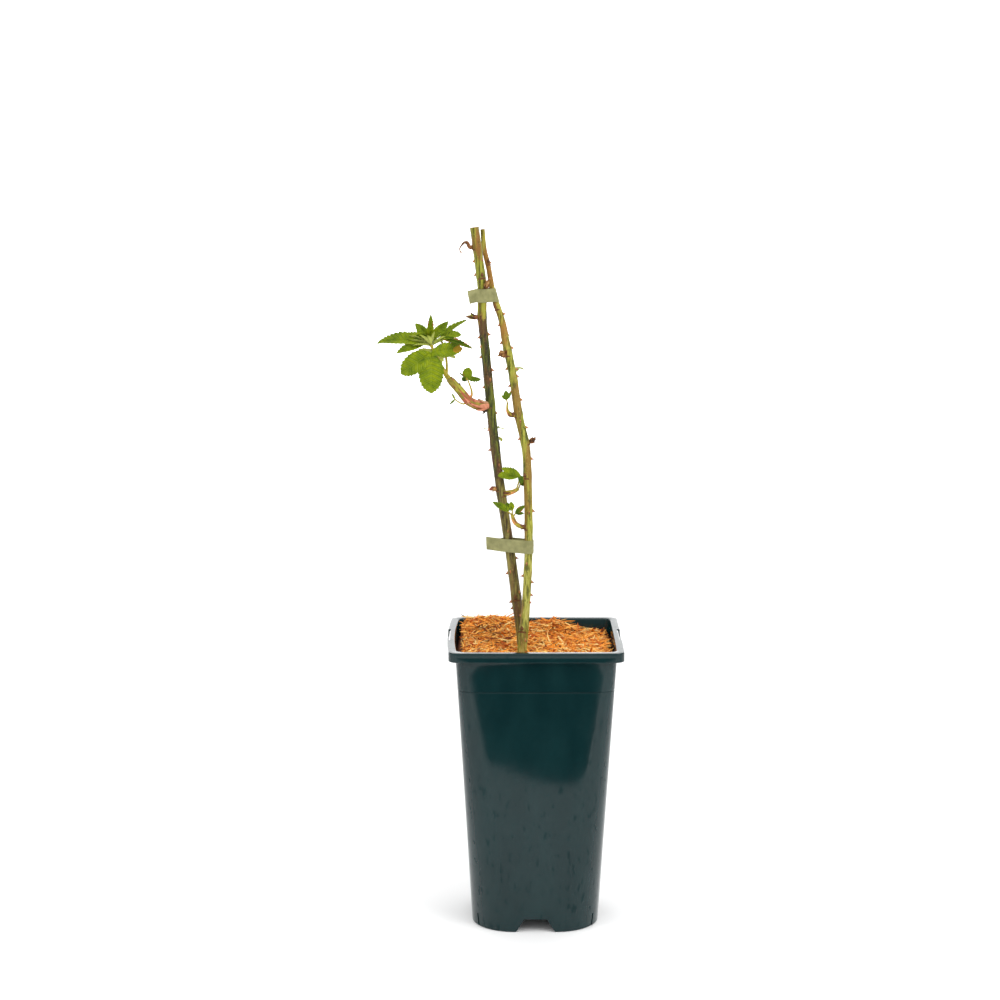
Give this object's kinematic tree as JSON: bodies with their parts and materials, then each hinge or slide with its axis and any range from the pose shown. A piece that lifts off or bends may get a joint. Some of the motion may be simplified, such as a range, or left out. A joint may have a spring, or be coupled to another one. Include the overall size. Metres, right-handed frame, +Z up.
{
  "type": "potted bramble",
  "caption": "Thorny cut canes tied together, with sparse young leafy shoots, growing from bark mulch in a deep square tapering nursery pot.",
  "frame": {"origin": "centre of the flat underside of the pot, on the ground it stands on", "axes": "+Z up along the canes, +X to the right and -Y to the front of the pictured view, square to the pot's sides"},
  "size_m": [0.2111, 0.1508, 0.61],
  "materials": {
    "pot_plastic": "glossy thin injection-moulded plastic, dark blue-green",
    "compost_peat": "moist dark compost",
    "mulch_fibre": "shredded orange-brown wood fibre",
    "left_bark": "satin olive and red-brown bark",
    "right_bark": "satin olive-green bark",
    "tie_tape": "smooth soft grey-green tape",
    "shoot_skin": "green shoot with pink-red scales",
    "leaf_green": "fresh yellow-green leaves",
    "bud_scale": "brown papery scales with green tips"
  },
  "bodies": {
    "root": {"bud_left_back": "bud_scale", "bud_left_lower": "bud_scale", "bud_left_top": "bud_scale", "bud_left_upper": "bud_scale", "bud_right_back": "bud_scale", "bud_right_cluster": "bud_scale", "bud_right_side": "bud_scale", "cane_left": "left_bark", "cane_right": "right_bark", "compost": "compost_peat", "foliage_bract": "leaf_green", "foliage_left_back": "leaf_green", "foliage_left_lower": "leaf_green", "foliage_main": "leaf_green", "foliage_right_back": "leaf_green", "foliage_right_lower": "leaf_green", "foliage_right_upper": "leaf_green", "foliage_stipule": "leaf_green", "mulch": "mulch_fibre", "pot": "pot_plastic", "shoot_main": "shoot_skin", "shoot_withered": "bud_scale", "tie_lower": "tie_tape", "tie_upper": "tie_tape"}
  },
  "joints": []
}
